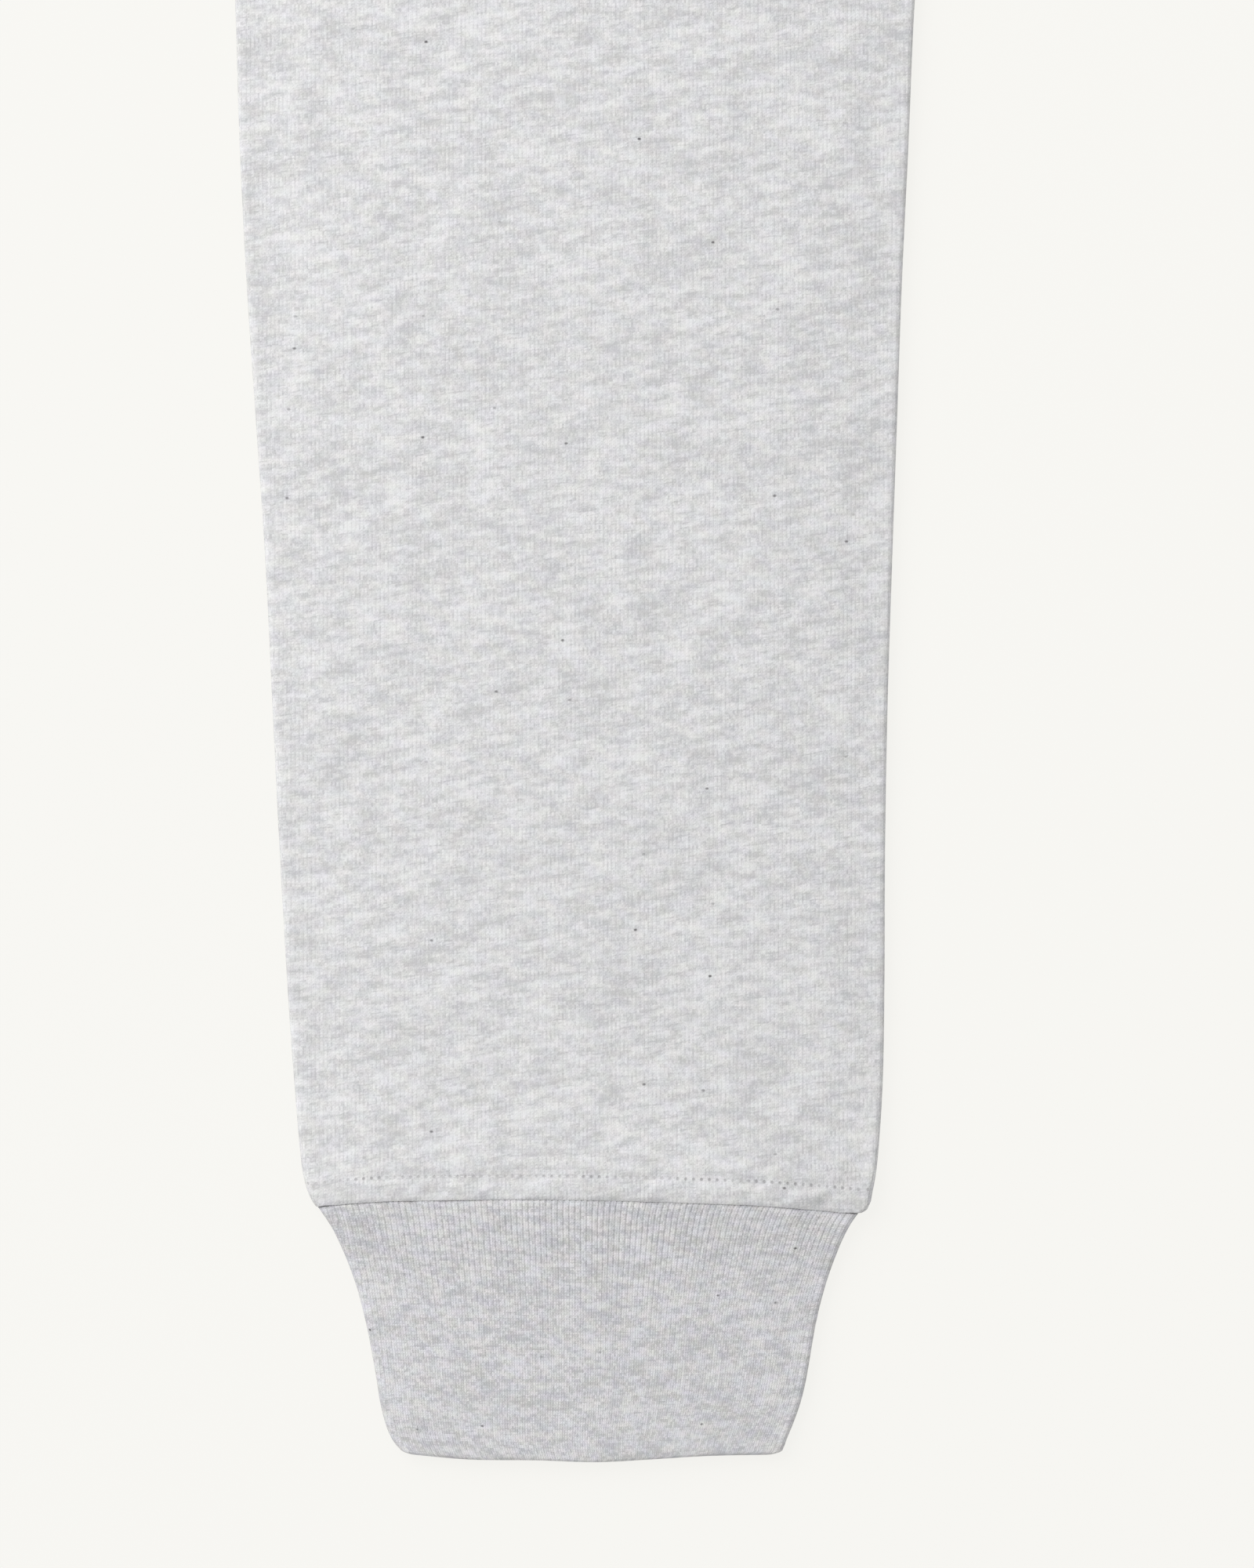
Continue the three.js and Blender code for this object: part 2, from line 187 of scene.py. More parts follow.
INSEAM_PLACES = table("up angle", (HEM_HEIGHT, 50), (84, 52), (96, 34), (112, 14), (140, 5), (176, 4))
HEM_LINE = table(
    "across up",
    (-77, 73.1),
    (-72, 74.0),
    (-56, 75.2),
    (-7, HEM_HEIGHT),
    (44, 74.2),
    (62, 72.9),
    (78, 71.2),
)
HEM_FADE = 34

leg_out = smooth(LEG_EDGES, "up", "out")
leg_inn = smooth(LEG_EDGES, "up", "inn")
hip_out = smooth(HIP_EDGES, "up", "out")
stack_at = smooth(LEG_STACK, "up", "thick")
hem_line = smooth(HEM_LINE, "across", "up")
inseam_angle = smooth(INSEAM_PLACES, "up", "angle")


def out_edge(up):
    return leg_out(up) if up < CROTCH_HEIGHT else hip_out(up)


def inn_edge(up):
    return leg_inn(up) if up < CROTCH_HEIGHT else LEG_AXIS - SEAM_GAP / 2


def waist_dip(from_centre):
    return FRONT_DIP * max(0, 1 - (from_centre / WAIST_HALF_WIDTH) ** 2)


print(f"leg over the cuff {out_edge(110) + inn_edge(110):.0f} mm, hip {2 * (LEG_AXIS + out_edge(780)):.0f} mm")

# %% [markdown]
# ## From cloth to mesh
#
# A sheet of cloth is a grid before anything else. Each piece starts as a flat grid of the right number of columns
# and rows, and a function then says where in space each grid point goes. The same step writes a UV map in metres
# along the cloth, so that the knit follows the piece round its edges instead of sliding over them.

# %% The helper that turns a grid into a piece
collection = bpy.context.scene.collection


def cloth_grid(name, columns, rows, place, material):
    """A piece from a grid. place(column, row) gives its point in millimetres and its place on the cloth."""
    bm = bmesh.new()
    bmesh.ops.create_grid(bm, x_segments=len(columns) - 1, y_segments=len(rows) - 1, size=0.5)
    cloth = bm.loops.layers.uv.new("cloth")
    spots = {}
    for vertex in bm.verts:
        i = round((vertex.co.x + 0.5) * (len(columns) - 1))
        j = round((vertex.co.y + 0.5) * (len(rows) - 1))
        point, spot = place(columns[i], rows[j])
        vertex.co = Vector(point) * MM
        spots[vertex.index] = (spot[0] * MM, spot[1] * MM)
    for face in bm.faces:
        face.smooth = True
        for loop in face.loops:
            loop[cloth].uv = spots[loop.vert.index]
    mesh = bpy.data.meshes.new(name)
    piece = bpy.data.objects.new(name, mesh)
    collection.objects.link(piece)
    mesh.materials.append(material)
    return piece, bm


def finish_mesh(piece, bm, outward):
    """Writes the mesh with its faces turned outwards. outward is the direction of the face nearest to it."""
    bmesh.ops.recalc_face_normals(bm, faces=bm.faces[:])
    direction = Vector(outward)
    outermost = max(bm.faces, key=lambda face: face.calc_center_median().dot(direction))
    if outermost.normal.dot(direction) < 0:
        bmesh.ops.reverse_faces(bm, faces=bm.faces[:])
    bm.to_mesh(piece.data)
    bm.free()
    return piece


# %% [markdown]
# ## Heather grey
#
# Heather grey is spun from white and grey fibre that never quite blends. Along each yarn it leaves short cloudy
# streaks, which the knitting lays side by side, so the cloth has soft dashes that run across it with a slight
# rise. A picture of cloth could be wrapped round the piece, but it would blur up close. Noise stretched along the
# course of the knit gives the same streaks at any distance, and each loop of the knit gets a random shade of its
# own on top, because each one shows another stretch of yarn.
#
# The effect is one node group, which the fleece and the rib knit both use with their own colours.

# %% Node helpers


class Tree:
    """Short names for the nodes that the materials here use."""

    def __init__(self, tree):
        self.tree = tree

    def add(self, kind, **values):
        node = self.tree.nodes.new(kind)
        for key, value in values.items():
            setattr(node, key, value)
        return node

    def link(self, source, target):
        self.tree.links.new(source, target)

    def feed(self, socket, value):
        if isinstance(value, bpy.types.NodeSocket):
            self.link(value, socket)
        else:
            socket.default_value = value

    def math(self, operation, *values):
        node = self.add("ShaderNodeMath", operation=operation)
        for socket, value in zip(node.inputs, values):
            self.feed(socket, value)
        return node.outputs[0]

    def remap(self, value, low, high, to_low=0.0, to_high=1.0, soft=False):
        node = self.add("ShaderNodeMapRange", interpolation_type="SMOOTHSTEP" if soft else "LINEAR")
        for socket, given in zip(node.inputs, (value, low, high, to_low, to_high)):
            self.feed(socket, given)
        return node.outputs[0]

    def mapping(self, vector, scale, turn=0.0):
        """Turns a place on the cloth, then counts it in repeats of scale = (across, along), in metres."""
        turned = self.add("ShaderNodeVectorRotate", rotation_type="Z_AXIS")
        self.feed(turned.inputs["Vector"], vector)
        self.feed(turned.inputs["Angle"], turn)
        counted = self.add("ShaderNodeVectorMath", operation="DIVIDE")
        self.link(turned.outputs[0], counted.inputs[0])
        self.feed(counted.inputs[1], (scale[0], scale[1], 1))
        return counted.outputs[0]

    def noise(self, vector, scale, turn=0.0, detail=2.0, roughness=0.5):
        node = self.add("ShaderNodeTexNoise", noise_dimensions="2D")
        self.link(self.mapping(vector, scale, turn), node.inputs["Vector"])
        self.feed(node.inputs["Scale"], 1.0)
        self.feed(node.inputs["Detail"], detail)
        self.feed(node.inputs["Roughness"], roughness)
        return node.outputs[0]

    def blend(self, factor, a, b, kind="MIX"):
        node = self.add("ShaderNodeMix", data_type="RGBA", blend_type=kind)
        self.feed(node.inputs[0], factor)
        self.feed(node.inputs[6], a)
        self.feed(node.inputs[7], b)
        return node.outputs[2]


def new_group(name, inputs, outputs):
    """An empty node group with named sockets. Each socket is a name and the last word of its type."""
    group = bpy.data.node_groups.new(name, "ShaderNodeTree")
    for in_out, sockets in (("INPUT", inputs), ("OUTPUT", outputs)):
        for socket, kind in sockets:
            group.interface.new_socket(socket, in_out=in_out, socket_type=f"NodeSocket{kind}")
    tree = Tree(group)
    return tree, tree.add("NodeGroupInput").outputs, tree.add("NodeGroupOutput").inputs


def colour(red, green, blue):
    """A colour as a screen shows it, from 0 to 255, in the linear values that Blender works with."""
    linear = [c / 12.92 if c <= 0.04045 else ((c + 0.055) / 1.055) ** 2.4 for c in (red / 255, green / 255, blue / 255)]
    return (*linear, 1.0)


# %% [markdown]
# ## Layers of streaks
#
# The streaks come in several sizes at once, from clouds as long as a thumb to single strands, because the fibre is
# mixed at every stage of the spinning. One noise can't do that, so a few are added up, each stretched along the
# course. The sum decides how far the cloth leans from its pale colour to its grey one. Two faint casts of colour and
# a few dark fibres lie over it.

# %% The heather group
FLEECE_RISE = math.radians(-9)
RIB_RISE = math.radians(-2)
CLOUD_SIZE = (0.024, 0.011)
CLOUD_RISE = 2.5
STREAK_SIZE = (0.0080, 0.0025)
DASH_SIZE = (0.0036, 0.0010)
STRAND_SIZE = (0.0064, 0.0007)
GRAIN_SIZE = (0.00046, 0.0005)
SWINGS = {"clouds": 0.6, "streaks": 1.38, "dashes": 0.62, "strands": 0.4, "loops": 0.5, "grain": 0.92}
MIDDLE_GREYNESS = 0.47
WARM_TO_COOL = ((255, 254, 250.5), (250.5, 251.3, 255))
GREEN_TO_ROSE = ((252, 254.4, 252), (255, 252.3, 255))
SPECK_SPACING = (0.020, 0.014)
SPECK_RADII = (0.014, 0.034)
SPECK_RARITY = 0.80
SPECK_COLOUR = (96, 94, 96)


def make_heather():
    tree, given, out = new_group(
        "Heather yarn",
        [
            ("Place", "Vector"),
            ("Rise", "Float"),
            ("Pale", "Color"),
            ("Grey", "Color"),
            ("Grain", "Float"),
            ("Loop", "Vector"),
            ("Cast", "Float"),
        ],
        [("Color", "Color"), ("Fibre", "Float")],
    )
    place = given["Place"]
    rise = given["Rise"]
    clouds = tree.noise(place, CLOUD_SIZE, tree.math("MULTIPLY", rise, CLOUD_RISE), detail=1.0)
    streaks = tree.noise(place, STREAK_SIZE, rise, detail=2.0, roughness=0.5)
    dashes = tree.noise(place, DASH_SIZE, rise, detail=2.0, roughness=0.6)
    strands = tree.remap(tree.noise(place, STRAND_SIZE, rise, detail=1.0), 0.62, 0.80, soft=True)
    grain = tree.noise(place, GRAIN_SIZE, detail=1.0)
    counted = tree.add("ShaderNodeVectorMath", operation="DIVIDE")
    tree.link(place, counted.inputs[0])
    tree.link(given["Loop"], counted.inputs[1])
    cell = tree.add("ShaderNodeVectorMath", operation="FLOOR")
    tree.link(counted.outputs[0], cell.inputs[0])
    loops = tree.add("ShaderNodeTexWhiteNoise", noise_dimensions="2D")
    tree.link(cell.outputs[0], loops.inputs["Vector"])

    def swing(value, layer):
        return tree.math("MULTIPLY", tree.math("SUBTRACT", value, 0.5), SWINGS[layer])

    total = tree.math("ADD", swing(clouds, "clouds"), swing(streaks, "streaks"))
    total = tree.math("ADD", total, swing(dashes, "dashes"))
    total = tree.math("ADD", total, tree.math("MULTIPLY", strands, SWINGS["strands"]))
    fine = tree.math("ADD", swing(loops.outputs["Value"], "loops"), swing(grain, "grain"))
    total = tree.math("ADD", total, tree.math("MULTIPLY", fine, given["Grain"]))
    greyness = tree.math("ADD", MIDDLE_GREYNESS, total)
    greyness = tree.math("MINIMUM", tree.math("MAXIMUM", greyness, 0.0), 1.0)
    cloth = tree.blend(greyness, given["Pale"], given["Grey"])

    for size, turn, (first, second) in (
        ((0.0066, 0.0036), 0.4, WARM_TO_COOL),
        ((0.0042, 0.0030), -0.5, GREEN_TO_ROSE),
    ):
        patches = tree.remap(tree.noise(place, size, turn, detail=2.0), 0.3, 0.7)
        cast = tree.blend(patches, colour(*first), colour(*second))
        cloth = tree.blend(given["Cast"], cloth, cast, kind="MULTIPLY")

    specks = tree.add("ShaderNodeTexVoronoi", voronoi_dimensions="2D", feature="F1")
    tree.link(tree.mapping(place, SPECK_SPACING), specks.inputs["Vector"])
    tree.feed(specks.inputs["Scale"], 1.0)
    near = tree.remap(specks.outputs["Distance"], *SPECK_RADII, 1.0, 0.0)
    picked = tree.add("ShaderNodeSeparateColor")
    tree.link(specks.outputs["Color"], picked.inputs[0])
    rare = tree.math("GREATER_THAN", picked.outputs[0], SPECK_RARITY)
    strength = tree.math("MULTIPLY", near, tree.math("MULTIPLY", rare, picked.outputs[1]))
    cloth = tree.blend(strength, cloth, colour(*SPECK_COLOUR))
    tree.link(cloth, out["Color"])
    tree.link(dashes, out["Fibre"])
    return tree.tree


heather = make_heather()
print("group made:", heather.name)

# %% [markdown]
# ## Knit loops
#
# Seen close, knit cloth is columns of small V shapes. They stand a few hundredths of a millimetre proud, far too
# little and too many for a mesh, so they are a height that a Bump node reads. The place on the cloth is split
# into columns, each column is folded about its middle, and a wave along it that runs later towards the folds
# gives the V.

# %% The knit group
COLUMN_WANDER = 0.0003
V_DEPTH = 0.6
CROWN_SHARE = 0.6
WAVE_SHARE = 0.2


def make_knit():
    tree, given, out = new_group(
        "Knit loops",
        [("Place", "Vector"), ("Column", "Float"), ("Course", "Float")],
        [("Height", "Float"), ("Between", "Float")],
    )
    parts = tree.add("ShaderNodeSeparateXYZ")
    tree.link(given["Place"], parts.inputs[0])
    wander = tree.noise(given["Place"], (0.004, 0.008), detail=1.0)
    shifted = tree.math("ADD", parts.outputs["X"], tree.math("MULTIPLY", wander, COLUMN_WANDER))
    column = tree.math("FRACT", tree.math("DIVIDE", shifted, given["Column"]))
    fold = tree.math("MULTIPLY", tree.math("ABSOLUTE", tree.math("SUBTRACT", column, 0.5)), 2.0)
    turns = tree.math("DIVIDE", parts.outputs["Y"], given["Course"])
    later = tree.math("ADD", turns, tree.math("MULTIPLY", fold, V_DEPTH))
    wave = tree.math("SINE", tree.math("MULTIPLY", later, 2 * math.pi))
    crown = tree.math("SUBTRACT", 1.0, tree.math("POWER", fold, 3.0))
    height = tree.math("ADD", tree.math("MULTIPLY", crown, CROWN_SHARE), tree.math("MULTIPLY", wave, WAVE_SHARE))
    tree.link(height, out["Height"])
    tree.link(tree.math("POWER", fold, 4.0), out["Between"])
    return tree.tree


knit = make_knit()
print("group made:", knit.name)

# %% [markdown]
# ## Needle holes
#
# A sewing needle leaves a pinhole at each end of a stitch, and on heavy fleece the thread pulls it open. In the
# photograph the row of dark holes shows more than the thread does. A hole is a dot of painted shade in the colour and a
# pit in the height, because it is smaller than a face of the mesh. The row is a line on the cloth, so it is found from
# the UV map: the distance to the nearest multiple of the stitch length, along a given height.

# %% The needle hole group
# The hole colour is painted shade: the dark inside of each pinhole, drawn as a dot.
HOLE_SHADE_COLOUR = colour(138, 136, 138)
HOLE_SHADE_STRENGTH = 0.62
HOLE_PIT = 2.0
HOLE_RADII = (0.0002, 0.0006)
PULL_SIZE = (0.011, 0.05)
WEAKEST_PULL = 0.45
WEAKEST_END = 0.6


def make_needle_holes():
    tree, given, out = new_group(
        "Needle holes",
        [("Place", "Vector"), ("Row", "Float"), ("Pitch", "Float"), ("Axis", "Float"), ("Reach", "Float")],
        [("Mask", "Float")],
    )
    parts = tree.add("ShaderNodeSeparateXYZ")
    tree.link(given["Place"], parts.inputs[0])
    phase = tree.math("FRACT", tree.math("DIVIDE", parts.outputs["X"], given["Pitch"]))
    along = tree.math("MULTIPLY", tree.math("SUBTRACT", phase, 0.5), given["Pitch"])
    aside = tree.math("SUBTRACT", parts.outputs["Y"], given["Row"])
    squared = tree.math("ADD", tree.math("MULTIPLY", along, along), tree.math("MULTIPLY", aside, aside))
    hole = tree.remap(tree.math("SQRT", squared), *HOLE_RADII, 1.0, 0.0, soft=True)
    pull = tree.remap(tree.noise(given["Place"], PULL_SIZE, detail=2.0), 0.38, 0.6, WEAKEST_PULL, 1.0)
    off_axis = tree.math("ABSOLUTE", tree.math("SUBTRACT", tree.math("ABSOLUTE", parts.outputs["X"]), given["Axis"]))
    inside = tree.math("SUBTRACT", 1.0, tree.math("DIVIDE", off_axis, given["Reach"]))
    fade = tree.remap(inside, 0.0, 0.3, WEAKEST_END, 1.0)
    tree.link(tree.math("MULTIPLY", hole, tree.math("MULTIPLY", pull, fade)), out["Mask"])
    return tree.tree


needle_holes = make_needle_holes()
print("group made:", needle_holes.name)

# %% [markdown]
# ## The materials
#
# Cotton fleece is matt. A little sheen at grazing angles stands for the fibre ends that catch the light. The rib knit
# is the same yarn, packed more tightly. Both knits get painted shade where their loops lie low, between the columns of
# loops. The rib knit gets much more of it, so it looks darker, and its grooves also get painted shadow lines.

# %% Fleece, rib knit and thread


def new_material(name):
    material = bpy.data.materials.new(name)
    material.use_nodes = True
    tree = Tree(material.node_tree)
    shader = material.node_tree.nodes["Principled BSDF"]
    shader.inputs["Metallic"].default_value = 0.0
    return material, tree, shader


def use_group(tree, group, **values):
    node = tree.add("ShaderNodeGroup", node_tree=group)
    for name, value in values.items():
        tree.feed(node.inputs[name], value)
    return node.outputs


def knit_cloth(
    name, pale, grey, rise, grain, cast, loop, flatten, column, course, painted_gap_shade, loop_depth, stitch_rows=(), ribs=()
):
    """A heather knit. A stitch row is its height on the cloth and how far it shows clearly from the leg's axis.

    ribs is the width of a rib on the cloth, the heights between which the painted shadow lines in its grooves fade in,
    and how dark that painted shade is.
    """
    material, tree, shader = new_material(name)
    place = tree.add("ShaderNodeUVMap", uv_map="cloth").outputs[0]
    streaked = tree.mapping(place, flatten)
    yarn = use_group(
        tree, heather, Place=streaked, Rise=rise, Pale=pale, Grey=grey, Grain=grain, Loop=(*loop, 1), Cast=cast
    )
    loops = use_group(tree, knit, Place=place, Column=column, Course=course)
    # Painted shade: the colour is darkened where the loops lie low, by the gap shade factor, standing in for the shade
    # between the columns of loops.
    low = tree.math("SUBTRACT", 1.0, loops["Height"])
    shade = tree.math("SUBTRACT", 1.0, tree.math("MULTIPLY", low, painted_gap_shade))
    if ribs:
        rib_width, closed_at, open_at, groove_shade = ribs
        up = tree.add("ShaderNodeSeparateXYZ")
        tree.link(place, up.inputs[0])
        rib = use_group(tree, knit, Place=place, Column=rib_width, Course=course)
        # Painted shade: a dark line down each rib groove, stronger higher up, where the grooves open towards the ankle
        # seam.
        opening = tree.remap(up.outputs["Y"], closed_at, open_at, 0.15, 1.0, soft=True)
        line = tree.math("MULTIPLY", rib["Between"], opening)
        shade = tree.math("SUBTRACT", shade, tree.math("MULTIPLY", line, groove_shade))
    painted_shade_grey = tree.add("ShaderNodeCombineColor")
    for socket in painted_shade_grey.inputs:
        tree.link(shade, socket)
    cloth = tree.blend(1.0, yarn["Color"], painted_shade_grey.outputs[0], kind="MULTIPLY")
    height = tree.math("ADD", loops["Height"], tree.math("MULTIPLY", yarn["Fibre"], 0.5))
    for row, reach in stitch_rows:
        holes = use_group(
            tree, needle_holes, Place=place, Row=row * MM, Pitch=STITCH * MM, Axis=LEG_AXIS * MM, Reach=reach * MM
        )
        # Painted shade: each needle hole is darkened towards the hole colour.
        cloth = tree.blend(tree.math("MULTIPLY", holes["Mask"], HOLE_SHADE_STRENGTH), cloth, HOLE_SHADE_COLOUR)
        height = tree.math("SUBTRACT", height, tree.math("MULTIPLY", holes["Mask"], HOLE_PIT))
    bump = tree.add("ShaderNodeBump")
    bump.inputs["Strength"].default_value = 0.6
    bump.inputs["Distance"].default_value = loop_depth
    tree.link(height, bump.inputs["Height"])
    tree.link(bump.outputs[0], shader.inputs["Normal"])
    tree.link(cloth, shader.inputs["Base Color"])
    shader.inputs["Roughness"].default_value = 0.92
    shader.inputs["Specular IOR Level"].default_value = 0.25
    shader.inputs["Sheen Weight"].default_value = 0.06
    shader.inputs["Sheen Roughness"].default_value = 0.5
    return material


RIB_ON_CLOTH = 1.55
# Each knit's gap shade is the strength of the painted shade between its columns of loops.
fleece = knit_cloth(
    "Fleece",
    colour(222, 222, 222.5),
    colour(189.5, 189.5, 190.5),
    rise=FLEECE_RISE,
    grain=1.0,
    cast=0.6,
    loop=(0.00058, 0.0012),
    flatten=(1.0, 1.0),
    column=0.00116,
    course=0.0009,
    painted_gap_shade=0.035,
    loop_depth=0.00012,
    stitch_rows=((HEM_HEIGHT + TOPSTITCH_RISE, 92), (BAND_SEAM_HEIGHT - TOPSTITCH_RISE, 400)),
)
rib_knit = knit_cloth(
    "Rib knit",
    colour(226.2, 225.8, 227.6),
    colour(192.3, 192.3, 194.1),
    rise=RIB_RISE,
    grain=1.5,
    cast=1.0,
    loop=(0.00078, 0.001),
    flatten=(0.92, 0.92),
    column=0.000775,
    course=0.0008,
    painted_gap_shade=0.18,
    loop_depth=0.00018,
    # The last rib value is the strength of the painted shadow lines in the grooves.
    ribs=(RIB_ON_CLOTH * MM, 0.036, 0.070, 0.09),
)
thread, thread_tree, thread_shader = new_material("Thread")
thread_place = thread_tree.add("ShaderNodeTexCoord").outputs["Object"]
twist = thread_tree.noise(thread_place, (0.0012, 0.0012), detail=1.0)
thread_tree.link(
    thread_tree.blend(twist, colour(222, 222, 223), colour(204, 204, 206)), thread_shader.inputs["Base Color"]
)
thread_shader.inputs["Roughness"].default_value = 0.6
print("materials:", ", ".join(material.name for material in (fleece, rib_knit, thread)))

# %% [markdown]
# ## The leg panels
#
# A jogger has no crease pressed down its legs. Laid flat, a leg is a front and a back panel that lie on each
# other and roll softly over at the two side seams. The inner seam has slid a little onto the front, as it does on
# the real one. So a panel's section is worked out in three stretches: up round one roll, across the flat, and
# down round the other roll. The front is slightly crowned, it swells over the seam allowance at the hem, and it
# is gathered under the waistband.
#
# One could also model the tube and press it flat with a cloth simulation, but then the outline would be whatever
# the simulation gives, and here the outline is known.

# %% Where the cloth of a panel lies
CROWN = 3.0
EDGE_RIDGE = 0.15
STITCHED_GAP = 0.12
RIDGE_PLACE = 6
RIDGE_WIDTH = 3.6
HEM_ROUNDING = 1.2
HEM_LAP = 0.4
HEM_END_SLOPE = 0.86
HEM_LAP_SHARE = 0.82
HEM_SIDE_SHARE = 0.76
HEM_LAP_FADE = 6
BACK_HEM_SHARE = 0.62
STITCH_SINK = 0.4
STITCH_SINK_WIDTH = 1.3
PUCKER_HEIGHT = 0.95
CENTRE_SINK = 0.9
CENTRE_SINK_WIDTH = 1.7
WAIST_ROLL = 0.12
WAIST_ROLL_WIDTH = 2.4
WAIST_FLATTENING = 0.7
GATHER_PINCH = 0.3
WAVE_HEIGHT = 0.25
WAVE_SIZE = (48, 70)
PUCKER_SIZE = (4.8, 10)
PUCKER_SLANT = 0.9
PUCKER_PLACE = 3.6
FRONT_COLUMNS = (120, 6)
BACK_COLUMNS = (64, 5)

CREASES = table(
    "across up to_across to_up depth width",
    (152, 742, 60, 774, -1.8, 8),
    (150, 722, 62, 694, -1.5, 8),
    (150, 732, 40, 728, 0.9, 9),
    (140, 676, 20, 640, 1.1, 12),
    (-95, 800, 10, 772, -1.1, 13),
    (100, 560, 10, 545, -0.7, 12),
    (-100, 470, -5, 486, -0.5, 14),
)


def crease_lift(across, up, flip):
    """The soft troughs and ridges that stay in the cloth, each along its own line. flip varies the other leg."""
    lift = 0
    for i, depth in enumerate(CREASES["depth"]):
        x0, y0 = CREASES["across"][i], CREASES["up"][i] + flip * 9 * math.sin(2.3 * i)
        x1, y1 = CREASES["to_across"][i] + flip * 12, CREASES["to_up"][i] - flip * 14 * math.cos(1.7 * i)
        run, rise = x1 - x0, y1 - y0
        length = math.hypot(run, rise)
        along = ((across - x0) * run + (up - y0) * rise) / length
        aside = ((across - x0) * rise - (up - y0) * run) / length
        fade = step(along, -12, 10) * (1 - step(along, 0.35 * length, length))
        lift += depth * fade * bell(aside, CREASES["width"][i])
    return lift


def row_height(up, across, front):
    """A row's height: the lowest rows follow the ankle seam, and the highest ones the waist seam."""
    hem_share = 1 - step(up, HEM_HEIGHT, HEM_HEIGHT + HEM_FADE)
    waist_share = step(up, CROTCH_HEIGHT + 60, BAND_SEAM_HEIGHT)
    dip = waist_dip(across - LEG_AXIS) if front else 0
    return up + hem_share * (hem_line(across) - HEM_HEIGHT) - waist_share * dip


def gather_lift(share, up, side):
    """Gathers of uneven width, height and length, which the waist seam holds down."""
    below = BAND_SEAM_HEIGHT - up
    count = GATHERS * share + 0.9 * noise.noise(Vector((5 * share, 0.4, 6 * side))) * math.sin(math.pi * share)
    own = noise.noise(Vector((0.8 * count, 2.6, 11 * side)))
    reach = GATHER_REACH * (0.85 + 1.1 * own)
    fade = mix(GATHER_PINCH, 1, step(below, 0, GATHER_CREST)) * bell(max(0, below - GATHER_CREST), reach)
    uneven = 0.85 + 0.6 * noise.noise(Vector((0.7 * count, 7.1, 3 * side)))
    return GATHER_HEIGHT * fade * uneven * (0.5 - 0.5 * math.cos(2 * math.pi * count))


def hem_relief(across, above, side):
    """The swell between the ankle seam and its topstitching, and the puckers that the stitches pull into it."""
    sink = -STITCH_SINK * bell(above - TOPSTITCH_RISE, STITCH_SINK_WIDTH)
    slanted = across - PUCKER_SLANT * above
    spot = Vector((slanted / PUCKER_SIZE[0], above / PUCKER_SIZE[1] + 40 * side, 3.7))
    pucker = PUCKER_HEIGHT * noise.noise(spot) * bell(above - PUCKER_PLACE, PUCKER_PLACE)
    return sink + pucker


def front_lift(across, up, left, right, side):
    """How far the front stands above its flat height."""
    share = (across - left) / (right - left)
    crown = CROWN * (1 - (2 * share - 1) ** 2)
    crown *= 1 - WAIST_FLATTENING * step(up, BAND_SEAM_HEIGHT - 60, BAND_SEAM_HEIGHT)
    ridges = bell(across - left - RIDGE_PLACE, RIDGE_WIDTH) + bell(right - across - RIDGE_PLACE, RIDGE_WIDTH)
    gather_from = left + 2.6 * RIDGE_PLACE
    gather_share = min(max((across - gather_from) / (right - gather_from), 0), 1)
    waves = WAVE_HEIGHT * noise.noise(Vector((across / WAVE_SIZE[0], up / WAVE_SIZE[1], 9 * side)))
    return (
        crown
        + EDGE_RIDGE * ridges
        + gather_lift(gather_share, up, side)
        + crease_lift(across, up, 0.5 + 0.5 * side)
        + hem_relief(across, up - HEM_HEIGHT, side)
        + waves * step(up, HEM_HEIGHT, HEM_HEIGHT + 30)
    )


def hem_share(up, front, beside):
    """How much of its height a row near the hem keeps. The front laps the cuff, but not at the leg's two sides."""
    lapped = step(beside, 1, HEM_LAP_FADE) if front else 0
    lap = HEM_LAP if front else 0
    lowest = mix(HEM_SIDE_SHARE, HEM_LAP_SHARE, lapped) if front else BACK_HEM_SHARE
    rounding = 1 - min((up - HEM_HEIGHT + lap) / (HEM_ROUNDING + lap), 1)
    rounding *= HEM_END_SLOPE if front else 1
    drawn_in = max(0, HEM_HEIGHT - up) * (1 - lapped)
    return mix(lowest, 1, math.sqrt(max(0, 1 - rounding**2))), drawn_in


